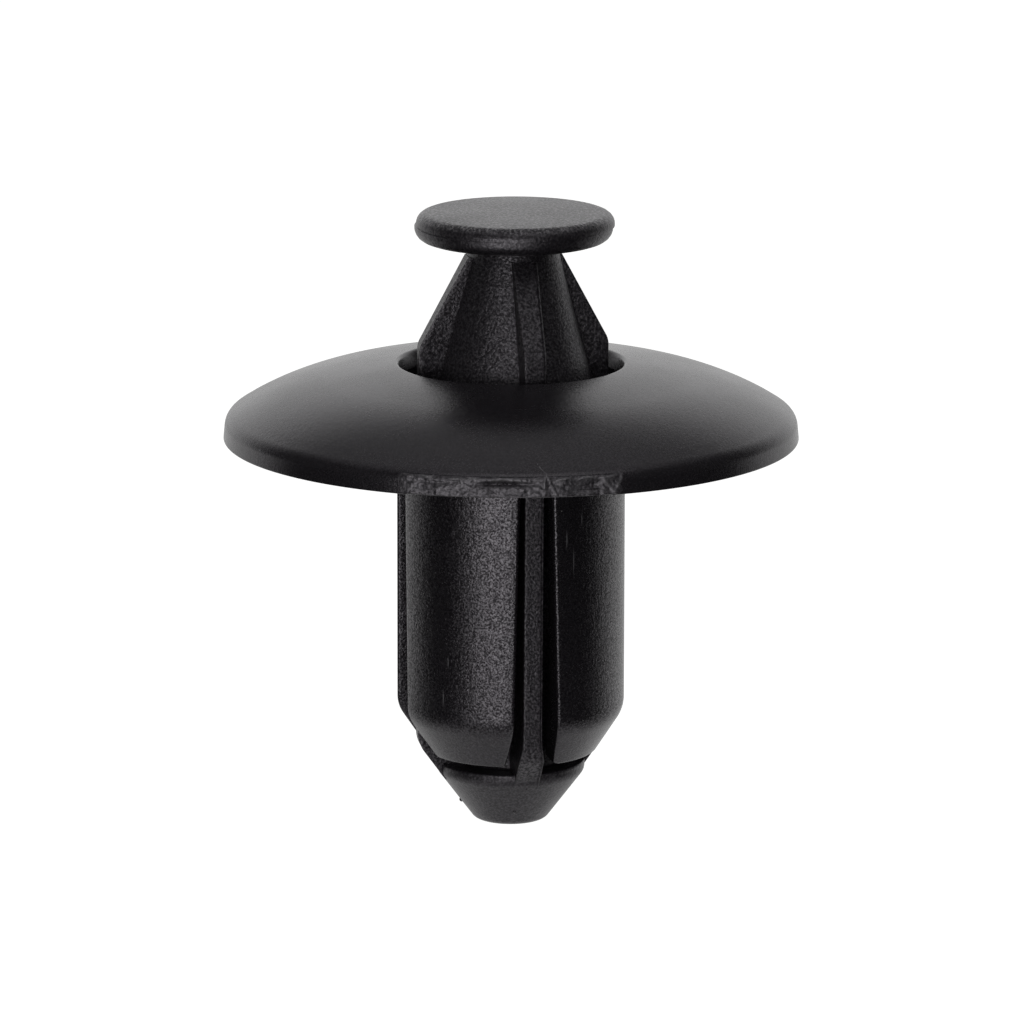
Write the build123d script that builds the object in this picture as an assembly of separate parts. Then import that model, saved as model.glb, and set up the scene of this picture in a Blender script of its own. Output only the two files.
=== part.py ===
from build123d import *
from math import cos, radians, sin, sqrt, tan
import os

# Push-type retainer for a round panel hole, shown with its centre pin raised.
# Millimetres. The origin is on the axis, in the plane where the flange's rim seats on the panel.
# +Z points to the pin's head. The pin's fins and the slots between the legs lie along X and Y.

# Fit in the panel
panel_hole_r = 5.0
hole_clearance = 0.04

# Flange: a shallow cone that turns down over a rounded shoulder to a short drafted rim
flange_r = 12.5
rim_height = 0.96
rim_draft = 0.09
rim_round = 0.69
crown_slope_deg = 9.13
shoulder_start_r = 7.2
shoulder_radius = 13.2
flange_wall = 1.1
flange_wall_step_r = 9.4
seat_width = 0.8

# Recess that takes the pin's head, in a cup that hangs below the flange
recess_clearance = 0.63
recess_depth = 1.25
recess_lip_round = 0.15
cup_wall = 0.97
floor_wall = 1.0

# Legs, and the slots that part them
leg_length = 13.89
leg_chamfer_height = 1.9
leg_chamfer_run = 1.23
leg_chamfer_round = 1.5
leg_end_round = 0.2
leg_taper_start = 8.0
leg_corner_round = 0.3
slot_side_clearance = 0.08
slot_end_clearance = 0.18
slot_draft_deg = 1.36

# Pin head
head_r = 4.3
head_height = 1.19
head_crown = 0.1
head_top_round = 0.3
head_bottom_round = 0.57

# Pin core: a cone that widens down to the cam, then runs out to the stem
neck_r = 1.9
cam_r = 3.5
cam_clearance = 0.1
cam_drop = 6.25
cam_height = 0.6
cam_run_out = 5.9
stem_r = 2.2
stem_clearance = 0.25

# Pin fins, which run down in the slots to the nose
fin_r = 4.17
fin_drop = 0.62
fin_slope_deg = 28.8
fin_shoulder_round = 0.9
fin_toe_round = 1.4
fin_top_thickness = 1.1
fin_thickness = 0.85
fin_root_thickness = 1.1
fin_root_height = 1.1
fin_root_flare = 0.8

# Nose
nose_gap = 0.48
nose_r = 3.25
nose_band = 0.42
nose_tip_r = 1.55
nose_height = 2.68
nose_round = 0.5
toe_height = 0.96
toe_drop = 0.3

# How far the pin goes down, from where the photo shows it to where its head seats
pin_travel = 6.59

# Small rounds on turned corners are drawn with this many flats, so that they mesh lightly
flats_per_round = 2

# Places that follow from the sizes above
leg_r = panel_hole_r - hole_clearance
leg_end_z = -leg_length
leg_end_r = leg_r - leg_chamfer_run
leg_tip_bore_r = stem_r + stem_clearance
bore_r = cam_r + cam_clearance
recess_r = head_r + recess_clearance
cup_r = recess_r + cup_wall
rim_top_r = flange_r - rim_draft
seat_inner_r = flange_r - seat_width
crown_slope = radians(crown_slope_deg)
shoulder_centre_r = shoulder_start_r - shoulder_radius * sin(crown_slope)
shoulder_centre_z = rim_height - sqrt(shoulder_radius**2 - (rim_top_r - shoulder_centre_r) ** 2)
shoulder_start_z = shoulder_centre_z + shoulder_radius * cos(crown_slope)
recess_lip_z = shoulder_start_z + (shoulder_start_r - recess_r) * tan(crown_slope)
cup_top_z = shoulder_start_z + (shoulder_start_r - cup_r) * tan(crown_slope) - flange_wall
floor_top_z = recess_lip_z - recess_depth
floor_under_z = floor_top_z - floor_wall
head_under_z = floor_top_z + pin_travel
head_top_z = head_under_z + head_height
cam_top_z = head_under_z - cam_drop
cam_bottom_z = cam_top_z - cam_height
core_slope = (cam_r - neck_r) / cam_drop
fin_top_z = head_under_z - fin_drop
fin_top_r = neck_r + fin_drop * core_slope
fin_shoulder_z = fin_top_z - (fin_r - fin_top_r) / tan(radians(fin_slope_deg))
shelf_z = leg_end_z - nose_gap
band_end_z = shelf_z - nose_band
nose_end_z = shelf_z - nose_height
toe_end_z = shelf_z - toe_drop
toe_start_z = shelf_z + toe_height
clear_of_legs = leg_r + cup_wall


def shoulder_z(r):
    """Height of the flange's rounded shoulder at a distance r from the axis."""
    return shoulder_centre_z + sqrt(shoulder_radius**2 - (r - shoulder_centre_r) ** 2)


def shoulder_arc(from_r, to_r):
    """The shoulder's profile between two distances from the axis."""
    middle_r = (from_r + to_r) / 2
    places = [(r, shoulder_z(r)) for r in (from_r, middle_r, to_r)]
    return ThreePointArc(*places)


def soft_corner(before, corner, after, radius):
    """A corner of a profile rounded with a few flats, as a list of points."""
    corner = Vector(*corner)
    back = (Vector(*before) - corner).normalized()
    ahead = (Vector(*after) - corner).normalized()
    half_angle = radians(back.get_angle(ahead)) / 2
    reach = radius / tan(half_angle)
    centre = corner + (back + ahead).normalized() * (radius / sin(half_angle))
    points = []
    for step in range(flats_per_round + 1):
        share = step / flats_per_round
        spoke = corner + back * (reach * (1 - share)) + ahead * (reach * share) - centre
        points.append(centre + spoke.normalized() * radius)
    return [(point.X, point.Y) for point in points]


def rounded(profile, r, z, radius):
    """The profile with the corner nearest to (r, z) rounded."""
    corner = profile.vertices().sort_by_distance((r, z))[0]
    return fillet(corner, radius)


def turned(profile):
    """The profile, drawn as (r, z), turned about the axis."""
    return revolve(Plane.XZ * profile, axis=Axis.Z)


def grommet_body():
    """Flange, recess cup and one round leg tube, turned as one profile."""
    inner_r = rim_top_r - rim_round
    rim = soft_corner((flange_r, 0), (rim_top_r, rim_height), (inner_r, shoulder_z(inner_r)), rim_round)
    # The rim's last flat ends on the shoulder itself
    shoulder_end_r = rim.pop()[0]
    lip = soft_corner(
        (shoulder_start_r, shoulder_start_z),
        (recess_r, recess_lip_z),
        (recess_r, floor_top_z),
        recess_lip_round,
    )
    leg_tip = (leg_tip_bore_r, leg_end_z)
    leg_end = (leg_end_r, leg_end_z)
    leg_chamfer_start = (leg_r, leg_end_z + leg_chamfer_height)
    leg_top = (leg_r, floor_under_z)
    side = Polyline((seat_inner_r, 0), (flange_r, 0), *rim, (shoulder_end_r, shoulder_z(shoulder_end_r)))
    shoulder = shoulder_arc(shoulder_end_r, shoulder_start_r)
    inside = Polyline(
        (shoulder_start_r, shoulder_start_z),
        *lip,
        (recess_r, floor_top_z),
        (bore_r, floor_top_z),
        (bore_r, -leg_taper_start),
        leg_tip,
        *soft_corner(leg_tip, leg_end, leg_chamfer_start, leg_end_round),
        *soft_corner(leg_end, leg_chamfer_start, leg_top, leg_chamfer_round),
        leg_top,
        (cup_r, floor_under_z),
        (cup_r, cup_top_z),
        (flange_wall_step_r, shoulder_z(flange_wall_step_r) - flange_wall),
        (seat_inner_r, 0),
    )
    return turned(make_face([side, shoulder, inside]))


def slot_cutter():
    """A drafted slot right across the legs, with a shorter one through the recess floor."""
    widening = tan(radians(slot_draft_deg))
    top_half = fin_top_thickness / 2 + slot_side_clearance
    corner_z = leg_end_z + leg_corner_round
    corner_half = top_half + widening * (floor_top_z - corner_z)
    end_half = corner_half + leg_corner_round
    below_z = leg_end_z - nose_gap
    side = Polyline((0, floor_top_z), (top_half, floor_top_z), (corner_half, corner_z))
    flare = RadiusArc((corner_half, corner_z), (end_half, leg_end_z), leg_corner_round)
    bottom = Polyline((end_half, leg_end_z), (end_half, below_z), (0, below_z), (0, floor_top_z))
    half = make_face([side, flare, bottom])
    section = half + mirror(half, about=Plane.YZ)
    long_slot = extrude(Plane.XZ * section, clear_of_legs, both=True)
    through_floor = Cylinder(fin_r + slot_end_clearance, 2 * floor_top_z)
    below_floor = Pos(0, 0, floor_under_z - leg_length) * Cylinder(clear_of_legs, 2 * leg_length)
    return long_slot & (through_floor + below_floor)


def grommet():
    """The outer moulding: four legs on a wide domed flange."""
    slot = slot_cutter()
    return grommet_body() - slot - Rot(0, 0, 90) * slot


def pin_core():
    """Head, cone, cam, stem and nose, turned as one profile."""
    crown = (0, head_top_z + head_crown)
    head_top = (head_r, head_top_z)
    head_bottom = (head_r, head_under_z)
    nose_tip = (nose_tip_r, nose_end_z)
    profile = Polyline(
        crown,
        *soft_corner(crown, head_top, head_bottom, head_top_round),
        *soft_corner(head_top, head_bottom, (neck_r, head_under_z), head_bottom_round),
        (neck_r, head_under_z),
        (cam_r, cam_top_z),
        (cam_r, cam_bottom_z),
        (stem_r, cam_bottom_z - cam_run_out),
        (stem_r, shelf_z),
        (nose_r, shelf_z),
        (nose_r, band_end_z),
        *soft_corner((nose_r, band_end_z), nose_tip, (0, nose_end_z), nose_round),
        (0, nose_end_z),
        close=True,
    )
    return turned(make_face(profile))


def fin_pair():
    """Two opposite fins as one plate: its outline, crossed with the draft of its thickness."""
    outline = make_face(
        Polyline(
            (0, fin_top_z),
            (fin_top_r, fin_top_z),
            (fin_r, fin_shoulder_z),
            (fin_r, toe_start_z),
            (nose_r, toe_end_z),
            (0, toe_end_z),
            close=True,
        )
    )
    outline = rounded(outline, fin_r, fin_shoulder_z, fin_shoulder_round)
    outline = rounded(outline, fin_r, toe_start_z, fin_toe_round)
    outline = outline + mirror(outline, about=Plane.YZ)
    root_z = toe_end_z + fin_root_height
    section = make_face(
        Polyline(
            (0, fin_top_z),
            (fin_top_thickness / 2, fin_top_z),
            (fin_thickness / 2, 0),
            (fin_thickness / 2, root_z + fin_root_flare),
            (fin_root_thickness / 2, root_z),
            (fin_root_thickness / 2, toe_end_z),
            (0, toe_end_z),
            close=True,
        )
    )
    section = section + mirror(section, about=Plane.YZ)
    broad = extrude(Plane.XZ * outline, fin_top_thickness, both=True)
    drafted = extrude(Plane.YZ * section, fin_r + slot_end_clearance, both=True)
    return broad & drafted


def push_pin():
    """The inner moulding: head, core, four fins and nose."""
    fins = fin_pair()
    return pin_core() + fins + Rot(0, 0, 90) * fins


os.makedirs("parts", exist_ok=True)
export_step(grommet(), "parts/grommet.step")
export_step(push_pin(), "parts/push_pin.step")
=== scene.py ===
from math import atan2, cos, degrees, exp, pi, radians, sin, sqrt, tan

import bmesh
import bpy
from mathutils import Matrix, Vector, noise


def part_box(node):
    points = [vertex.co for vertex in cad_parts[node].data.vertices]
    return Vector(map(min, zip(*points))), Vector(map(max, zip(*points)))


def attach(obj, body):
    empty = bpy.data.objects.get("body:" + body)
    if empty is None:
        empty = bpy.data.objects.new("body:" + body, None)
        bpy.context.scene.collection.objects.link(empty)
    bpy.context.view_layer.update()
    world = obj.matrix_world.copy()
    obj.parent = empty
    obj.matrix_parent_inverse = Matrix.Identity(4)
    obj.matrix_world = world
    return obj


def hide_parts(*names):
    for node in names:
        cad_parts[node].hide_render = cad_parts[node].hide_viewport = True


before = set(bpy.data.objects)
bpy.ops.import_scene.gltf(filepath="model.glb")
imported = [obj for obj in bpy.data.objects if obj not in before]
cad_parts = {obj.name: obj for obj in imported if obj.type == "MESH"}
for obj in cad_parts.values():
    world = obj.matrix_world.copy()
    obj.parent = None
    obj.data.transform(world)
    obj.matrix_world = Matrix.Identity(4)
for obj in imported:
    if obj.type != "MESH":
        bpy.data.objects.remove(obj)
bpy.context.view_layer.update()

# Push-type retainer: two black nylon mouldings, the centre pin raised.
# Sizes in the dictionaries are millimetres in the retainer's own frame, heights from the rim's seat.

mm = 0.001
weldReach = 0.0002 * mm
grommetLow, grommetHigh = (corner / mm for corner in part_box("grommet"))
pinLow, pinHigh = (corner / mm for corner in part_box("push_pin"))


def hexColour(code):
    # sRGB hex to the linear values that shaders and lamps take
    channels = [int(code[i:i + 2], 16) / 255 for i in (1, 3, 5)]
    linear = [c / 12.92 if c <= 0.04045 else ((c + 0.055) / 1.055) ** 2.4 for c in channels]
    return (*linear, 1.0)


def addNode(tree, kind, settings=None, inputs=None):
    # settings are the node's own options, inputs are values or the sockets that feed it
    node = tree.nodes.new(kind)
    for name, value in (settings or {}).items():
        setattr(node, name, value)
    for name, value in (inputs or {}).items():
        if isinstance(value, bpy.types.NodeSocket):
            tree.links.new(value, node.inputs[name])
        else:
            node.inputs[name].default_value = value
    return node


# the ends of a Map Range node, in the order in which the tables below give them
rangeEnds = ("From Min", "From Max", "To Min", "To Max")


def linkObject(name, data):
    obj = bpy.data.objects.new(name, data)
    bpy.context.scene.collection.objects.link(obj)
    return obj


def meshObject(name, bm):
    mesh = bpy.data.meshes.new(name)
    bm.to_mesh(mesh)
    bm.free()
    return linkObject(name, mesh)


def bakeObject(obj, name):
    # the evaluated shape as a plain mesh on a clean object, with its modifiers gone
    depsgraph = bpy.context.evaluated_depsgraph_get()
    mesh = bpy.data.meshes.new_from_object(obj.evaluated_get(depsgraph), depsgraph=depsgraph)
    mesh.name = name
    bpy.data.objects.remove(obj)
    return linkObject(name, mesh)


def tidyMesh(obj, smoothAngle=32):
    # welds, turns faces outwards, and keeps edges sharper than smoothAngle crisp
    bm = bmesh.new()
    bm.from_mesh(obj.data)
    bmesh.ops.remove_doubles(bm, verts=bm.verts, dist=weldReach)
    bmesh.ops.dissolve_degenerate(bm, edges=bm.edges, dist=weldReach / 2)
    bmesh.ops.recalc_face_normals(bm, faces=bm.faces)
    bm.to_mesh(obj.data)
    bm.free()
    obj.data.shade_smooth()
    obj.data.set_sharp_from_angle(angle=radians(smoothAngle))
    return obj


# Camera: a long lens a little above the rim, turned 13 degrees to the left of the front fin
view = {
    "distance": 326,
    "turn": -13.2,
    "elevation": 12.04,
    "aimHeight": -3.262,
    "aimSide": -0.043,
    "roll": 0.1,
    "lens": 264.7,
    "filmWidth": 36,
}


def outwardAt(turn, rise=0):
    # the way out from the axis at a turn from the camera's side, both in degrees
    around, above = radians(view["turn"] + turn), radians(rise)
    return Vector((sin(around) * cos(above), -cos(around) * cos(above), sin(above)))


def makeCamera():
    turn = radians(view["turn"])
    rightward = Vector((cos(turn), sin(turn), 0))
    place = outwardAt(0, view["elevation"]) * view["distance"] * mm
    aim = (Vector((0, 0, view["aimHeight"])) + rightward * view["aimSide"]) * mm
    camera = linkObject("camera", bpy.data.cameras.new("camera"))
    look = (aim - place).to_track_quat("-Z", "Y").to_matrix().to_4x4()
    roll = Matrix.Rotation(radians(view["roll"]), 4, "Z")
    camera.matrix_world = Matrix.Translation(place) @ look @ roll
    camera.data.lens = view["lens"]
    camera.data.sensor_width = view["filmWidth"]
    camera.data.clip_start = 5 * mm
    camera.data.clip_end = 50000 * mm
    bpy.context.scene.camera = camera


makeCamera()
print("camera set")


def roundedPath(corners, closed=False, arcSteps=6):
    # corners are (r, z) or (r, z, radius): rounds them, with a point beside each arc that
    # keeps the straight beyond it shaded flat
    hold = 0.06
    path = []
    count = len(corners)
    for i, corner in enumerate(corners):
        here = Vector(corner[:2])
        radius = corner[2] if len(corner) > 2 else 0
        if not radius or (not closed and i in (0, count - 1)):
            path.append(here)
            continue
        before = (Vector(corners[i - 1][:2]) - here).normalized()
        after = (Vector(corners[(i + 1) % count][:2]) - here).normalized()
        half = before.angle(after) / 2
        reach = radius / tan(half)
        centre = here + (before + after).normalized() * (radius / sin(half))
        first, last = here + before * reach, here + after * reach
        path.append(first + before * hold)
        for step in range(arcSteps + 1):
            chord = first.lerp(last, step / arcSteps) - centre
            path.append(centre + chord.normalized() * radius)
        path.append(last + after * hold)
    return path


def profileObject(name, path):
    # a profile as a line of vertices at (r, 0, z), which the turning tree reads in order
    mesh = bpy.data.meshes.new(name)
    edges = [(i, i + 1) for i in range(len(path) - 1)]
    mesh.from_pydata([(r * mm, 0, z * mm) for r, z in path], edges, [])
    return linkObject(name, mesh)


def newTree(name, inputs):
    # a geometry tree with named inputs; gives the tree, its input node and the inputs' identifiers
    tree = bpy.data.node_groups.new(name, "GeometryNodeTree")
    sockets = {}
    for label, kind in inputs.items():
        sockets[label] = tree.interface.new_socket(label, in_out="INPUT", socket_type=kind)
    tree.interface.new_socket("Geometry", in_out="OUTPUT", socket_type="NodeSocketGeometry")
    keys = {label: socket.identifier for label, socket in sockets.items()}
    return tree, tree.nodes.new("NodeGroupInput"), keys


def endTree(tree, geometry, material):
    realised = addNode(tree, "GeometryNodeRealizeInstances", inputs={"Geometry": geometry})
    painted = addNode(tree, "GeometryNodeSetMaterial", inputs={
        "Geometry": realised.outputs[0], "Material": material,
    })
    addNode(tree, "NodeGroupOutput", inputs={"Geometry": painted.outputs[0]})


def turningTree():
    # turns a profile line about the axis: a grid, each column a copy of the profile at its own angle
    tree, given, keys = newTree("Turned profile", {
        "Profile": "NodeSocketObject",
        "Segments": "NodeSocketInt",
        "Material": "NodeSocketMaterial",
    })
    profile = addNode(tree, "GeometryNodeObjectInfo", inputs={"Object": given.outputs["Profile"]})
    size = addNode(tree, "GeometryNodeAttributeDomainSize", inputs={
        "Geometry": profile.outputs["Geometry"],
    })
    points = size.outputs["Point Count"]
    columns = addNode(tree, "ShaderNodeMath", {"operation": "ADD"}, {
        0: given.outputs["Segments"], 1: 1,
    })
    grid = addNode(tree, "GeometryNodeMeshGrid", inputs={
        "Vertices X": columns.outputs[0], "Vertices Y": points,
    })
    index = addNode(tree, "GeometryNodeInputIndex")
    share = addNode(tree, "ShaderNodeMath", {"operation": "DIVIDE"}, {0: index.outputs[0], 1: points})
    column = addNode(tree, "ShaderNodeMath", {"operation": "FLOOR"}, {0: share.outputs[0]})
    row = addNode(tree, "ShaderNodeMath", {"operation": "MODULO"}, {0: index.outputs[0], 1: points})
    place = addNode(tree, "GeometryNodeInputPosition")
    sample = addNode(tree, "GeometryNodeSampleIndex", {"data_type": "FLOAT_VECTOR"}, {
        "Geometry": profile.outputs["Geometry"],
        "Value": place.outputs[0],
        "Index": row.outputs[0],
    })
    part = addNode(tree, "ShaderNodeMath", {"operation": "DIVIDE"}, {
        0: column.outputs[0], 1: given.outputs["Segments"],
    })
    angle = addNode(tree, "ShaderNodeMath", {"operation": "MULTIPLY"}, {0: part.outputs[0], 1: 2 * pi})
    turned = addNode(tree, "ShaderNodeVectorRotate", {"rotation_type": "Z_AXIS"}, {
        "Vector": sample.outputs[0],
        "Angle": angle.outputs[0],
    })
    moved = addNode(tree, "GeometryNodeSetPosition", inputs={
        "Geometry": grid.outputs["Mesh"], "Position": turned.outputs[0],
    })
    welded = addNode(tree, "GeometryNodeMergeByDistance", inputs={
        "Geometry": moved.outputs[0], "Distance": weldReach,
    })
    endTree(tree, welded.outputs[0], given.outputs["Material"])
    return tree, keys


def ringTree():
    # repeats one item about the axis
    tree, given, keys = newTree("Ring of copies", {
        "Item": "NodeSocketObject",
        "Count": "NodeSocketInt",
        "Material": "NodeSocketMaterial",
    })
    item = addNode(tree, "GeometryNodeObjectInfo", inputs={"Object": given.outputs["Item"]})
    line = addNode(tree, "GeometryNodeMeshLine", inputs={
        "Count": given.outputs["Count"], "Offset": (0, 0, 0),
    })
    index = addNode(tree, "GeometryNodeInputIndex")
    share = addNode(tree, "ShaderNodeMath", {"operation": "DIVIDE"}, {
        0: index.outputs[0], 1: given.outputs["Count"],
    })
    angle = addNode(tree, "ShaderNodeMath", {"operation": "MULTIPLY"}, {0: share.outputs[0], 1: 2 * pi})
    turn = addNode(tree, "ShaderNodeCombineXYZ", inputs={"Z": angle.outputs[0]})
    copies = addNode(tree, "GeometryNodeInstanceOnPoints", inputs={
        "Points": line.outputs["Mesh"],
        "Instance": item.outputs["Geometry"],
        "Rotation": turn.outputs[0],
    })
    endTree(tree, copies.outputs[0], given.outputs["Material"])
    return tree, keys


turning, turningKeys = turningTree()
ringing, ringingKeys = ringTree()


def runTree(name, tree, keys, values):
    # a bare object that only carries the tree; its inputs are set before it is first evaluated
    obj = linkObject(name, bpy.data.meshes.new(name))
    modifier = obj.modifiers.new(tree.name, "NODES")
    modifier.node_group = tree
    for label, value in values.items():
        modifier[keys[label]] = value
    return bakeObject(obj, name)


def turnedPiece(name, path, material, segments):
    profile = profileObject(name + "Profile", path)
    piece = runTree(name, turning, turningKeys, {
        "Profile": profile, "Segments": segments, "Material": material,
    })
    bpy.data.objects.remove(profile)
    return tidyMesh(piece)


def ringOf(name, item, count, material):
    ring = runTree(name, ringing, ringingKeys, {"Item": item, "Count": count, "Material": material})
    bpy.data.objects.remove(item)
    return tidyMesh(ring)


def fuse(piece, others, operation="UNION"):
    # exact booleans, then one plain mesh again
    name = piece.name
    for other in others:
        modifier = piece.modifiers.new(operation.title(), "BOOLEAN")
        modifier.operation = operation
        modifier.solver = "EXACT"
        modifier.object = other
    fused = bakeObject(piece, name)
    for other in others:
        bpy.data.objects.remove(other)
    return tidyMesh(fused)


def loftedMesh(name, loops):
    # skins closed loops of equal length, bottom to top, and caps both ends
    bm = bmesh.new()
    rings = [[bm.verts.new(Vector(p) * mm) for p in loop] for loop in loops]
    for lower, upper in zip(rings, rings[1:]):
        for i in range(len(lower)):
            j = (i + 1) % len(lower)
            bm.faces.new((lower[i], lower[j], upper[j], upper[i]))
    caps = [bm.faces.new(rings[0][::-1]), bm.faces.new(rings[-1])]
    bmesh.ops.triangulate(bm, faces=caps)
    return meshObject(name, bm)


def arcPoints(centre, radius, start, end, steps):
    return [
        (centre[0] + radius * cos(start + (end - start) * i / steps),
         centre[1] + radius * sin(start + (end - start) * i / steps))
        for i in range(steps + 1)
    ]


print("tools ready")


# Black nylon 66 out of a spark-eroded mould. The eroded pits break a lamp's reflection into
# sparks, and the skin over them varies softly in gloss. Polished parts of the mould, such as
# the dome, keep a finer grain. Spacings and heights are millimetres. The real pits are about
# 0.03 apart, too fine to show, so they are drawn as coarse as the frame can show them.
nylon = {
    "ior": 1.53,
    "tint": "#fdf7ff",
    "dragStretch": 0.03,  # along the axis, against 1 round it
    "sparkFrom": (0.36, 0.72),  # the pits' noise, from a dull pit to a bright one
    "polishedSparkle": 0.5,
    "meltSpacing": 3.5,
    "cloudFrom": (0.35, 0.65),
    "grainFrom": (0.3, 0.7),
    "dustSpacing": 0.12,
    "dustFrom": (0.48, 0.68),
    "dustDepth": 0.2,
    "dustScuffAndGlintColour": "#8f8d90",
    "dullFrom": (0.34, 0.62),
    "dullSparkle": (0.5, 1.25),
    "speckRadius": 0.022,
    "speckRarity": 0.93,
    "speckColour": "#8d8d8a",
    "scuffAndGlintEdge": (0.3, 1.0),
    "scuffAndGlintShare": 0.45,
}
nowhere = 90  # a height above the whole part
grommetLook = {
    "colour": "#161417",
    "paleColour": "#232124",
    "roughness": (0.22, 0.30),
    "sparkle": (0.10, 1.15),
    "pitSpacing": 0.085,
    "pitHeight": 0.020,
    "pebbleSpacing": 0.27,
    "pebbleHeight": 0.018,
    "dragSpacing": 0.10,
    "dragHeight": 0.006,
    "polishedAbove": (-0.6, -0.1),
    "polishedAboveShare": 0.25,
    "polishedBelow": (-12.3, -11.7),
    "polishedBelowShare": 0.35,
    "dustAbove": nowhere,
    "dustShare": 0.0,
    "speckSpacing": 0.55,
    # handling marks, and in the pin's list painted highlights: turn from the camera's side, distance
    # from the axis, height, half width and half length
    "scuffsAndGlints": [
        (-36, 4.96, -10.7, 0.035, 0.45),
        (-33, 4.96, -9.1, 0.03, 0.3),
        (29, 4.96, -3.6, 0.035, 0.5),
        (33, 4.96, -4.6, 0.025, 0.7),
        (38, 4.96, -2.8, 0.03, 0.35),
        (-14, 4.96, -5.5, 0.03, 0.4),
        (-59.6, 12.41, 0.74, 0.07, 0.07),
        (45.6, 4.95, 3.35, 0.08, 0.08),
    ],
}
pinLook = {
    "colour": "#171518",
    "paleColour": "#252326",
    "roughness": (0.30, 0.40),
    "sparkle": (0.15, 1.15),
    "pitSpacing": 0.11,
    "pitHeight": 0.040,
    "pebbleSpacing": 0.30,
    "pebbleHeight": 0.02,
    "dragSpacing": 0.09,
    "dragHeight": 0.004,
    "polishedAbove": (pinHigh.z - 1.6, pinHigh.z - 1.2),
    "polishedAboveShare": 0.6,
    "polishedBelow": (-14.7, -14.2),
    "polishedBelowShare": 0.4,
    "dustAbove": pinHigh.z - 0.35,
    "dustShare": 0.75,
    "speckSpacing": 0.5,
    # these pale spots, on the head's rounded lower edge and on the neck just under it, are painted
    # highlights, not handling marks
    "scuffsAndGlints": [(8, 4.3, 8.9, 0.05, 0.05), (4, 2.05, 8.35, 0.2, 0.05)],
}
# The torn gate is the same nylon without the mould's skin: rougher, greyer, and pale where it was
# stretched. Along the crest of its ridge the same pale colour is a painted highlight.
tornLook = {
    **grommetLook,
    "scuffsAndGlints": [],
    "whitenedAndHighlight": "#8a888b",
    "colour": "#1b191c",
    "paleColour": "#39373a",
    "roughness": (0.32, 0.46),
    "sparkle": (0.35, 0.85),
    "pitSpacing": 0.12,
    "pitHeight": 0.012,
    "pebbleHeight": 0.008,
    "polishedAbove": (nowhere, nowhere + 1),
    "polishedAboveShare": 1.0,
}


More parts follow.
